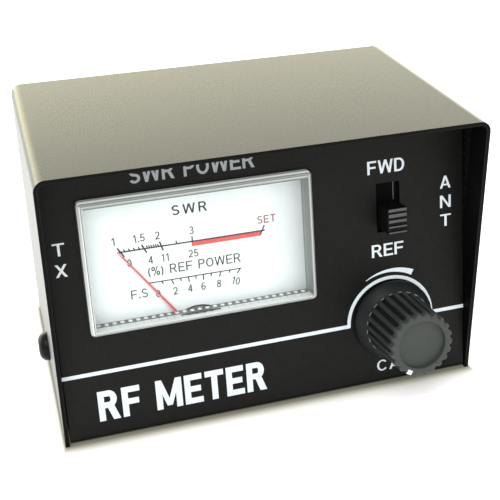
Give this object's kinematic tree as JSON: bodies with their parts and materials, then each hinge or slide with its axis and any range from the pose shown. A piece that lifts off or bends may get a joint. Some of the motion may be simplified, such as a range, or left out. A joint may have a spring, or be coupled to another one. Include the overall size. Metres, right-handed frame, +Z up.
{
  "type": "swr meter",
  "caption": "Small radio standing-wave meter: bent steel case, leaning panel with moving-coil meter, slide switch, skirted knob and rear UHF sockets.",
  "frame": {"origin": "on the table plane, under the middle of the object's overall box", "axes": "+X across to the right as seen from the front, +Y towards the rear sockets, +Z up; the front panel faces -Y"},
  "size_m": [0.1098, 0.0958, 0.069],
  "materials": {
    "cover_paint": "satin black powder coat, fine texture",
    "chassis_paint": "satin black",
    "black_steel": "black oxide, semi-gloss",
    "clear_plastic": "clear polished acrylic",
    "black_plastic": "matt moulded",
    "scale_white": "matt white, printed",
    "steel": "turned",
    "iron": "bare",
    "brass": "bare",
    "bronze": "polished strip",
    "glue": "translucent hot-melt",
    "pointer_red": "painted",
    "copper": "enamelled",
    "knob_charcoal": "satin moulded",
    "knob_grey": "satin moulded",
    "white_ink": "painted",
    "phenolic": "laminate",
    "nickel": "nickel plate",
    "tinned": "tinned",
    "switch_black": "moulded",
    "board": "solder mask",
    "insulator": "moulded",
    "diode_glass": "glass body",
    "resistor_paint": "lacquered",
    "capacitor_ceramic": "dipped",
    "red_wire": "pvc",
    "yellow_wire": "pvc",
    "black_wire": "pvc",
    "blue_wire": "pvc"
  },
  "bodies": {
    "case": {"top_cover": "cover_paint", "chassis": "chassis_paint", "cover_screws": "black_steel", "meter_lens": "clear_plastic", "meter_housing": "black_plastic", "scale_plate": "scale_white", "scale_plate_screws": "steel", "movement_yoke": "iron", "core_magnet": "iron", "core_bracket": "brass", "front_bridge": "brass", "rear_bridge": "brass", "bridge_pillars": "brass", "jewel_screws": "brass", "front_hairspring": "bronze", "rear_hairspring": "bronze", "meter_terminals": "brass", "glue_beads": "glue", "pot_bushing": "nickel", "pot_can": "nickel", "pot_track": "phenolic", "pot_terminals": "tinned", "pot_washer": "nickel", "pot_nut": "nickel", "switch_frame": "nickel", "switch_base": "phenolic", "switch_terminals": "tinned", "control_board": "board", "tx_socket_shell": "nickel", "tx_socket_insulator": "insulator", "tx_centre_contact": "brass", "ant_socket_shell": "nickel", "ant_socket_insulator": "insulator", "ant_centre_contact": "brass", "socket_screws": "nickel", "socket_nuts": "nickel", "coupler_board": "board", "through_line": "tinned", "pickup_lines": "copper", "detector_diodes": "diode_glass", "terminating_resistors": "resistor_paint", "bypass_capacitors": "capacitor_ceramic", "forward_wire": "red_wire", "reflected_wire": "yellow_wire", "ground_wire": "black_wire", "meter_wires": "blue_wire"},
    "knob": {"knob_body": "knob_charcoal", "knob_cap": "knob_grey", "knob_index": "white_ink", "pot_shaft": "steel", "pot_wiper": "phenolic"},
    "switch_slider": {"switch_lever": "switch_black", "switch_contacts": "brass"},
    "pointer": {"pointer": "pointer_red", "moving_coil": "copper", "coil_pivots": "steel"}
  },
  "joints": [
    {"name": "calibration_turn", "type": "hinge", "parent": "case", "child": "knob", "pos_m": [0.03136, -0.02946, 0.0174], "axis": [0, 0.9857, -0.1685], "range_deg": [0, 300]},
    {"name": "switch_slide", "type": "slide", "parent": "case", "child": "switch_slider", "axis": [0, 0.1685, 0.9857], "range_m": [0, 0.004]},
    {"name": "pointer_swing", "type": "hinge", "parent": "case", "child": "pointer", "pos_m": [-0.01727, -0.02896, 0.02037], "axis": [0, 0.9857, -0.1685], "range_deg": [0, 72], "stiffness_Nm_per_rad": 0.00005, "springref_deg": -11.46}
  ]
}
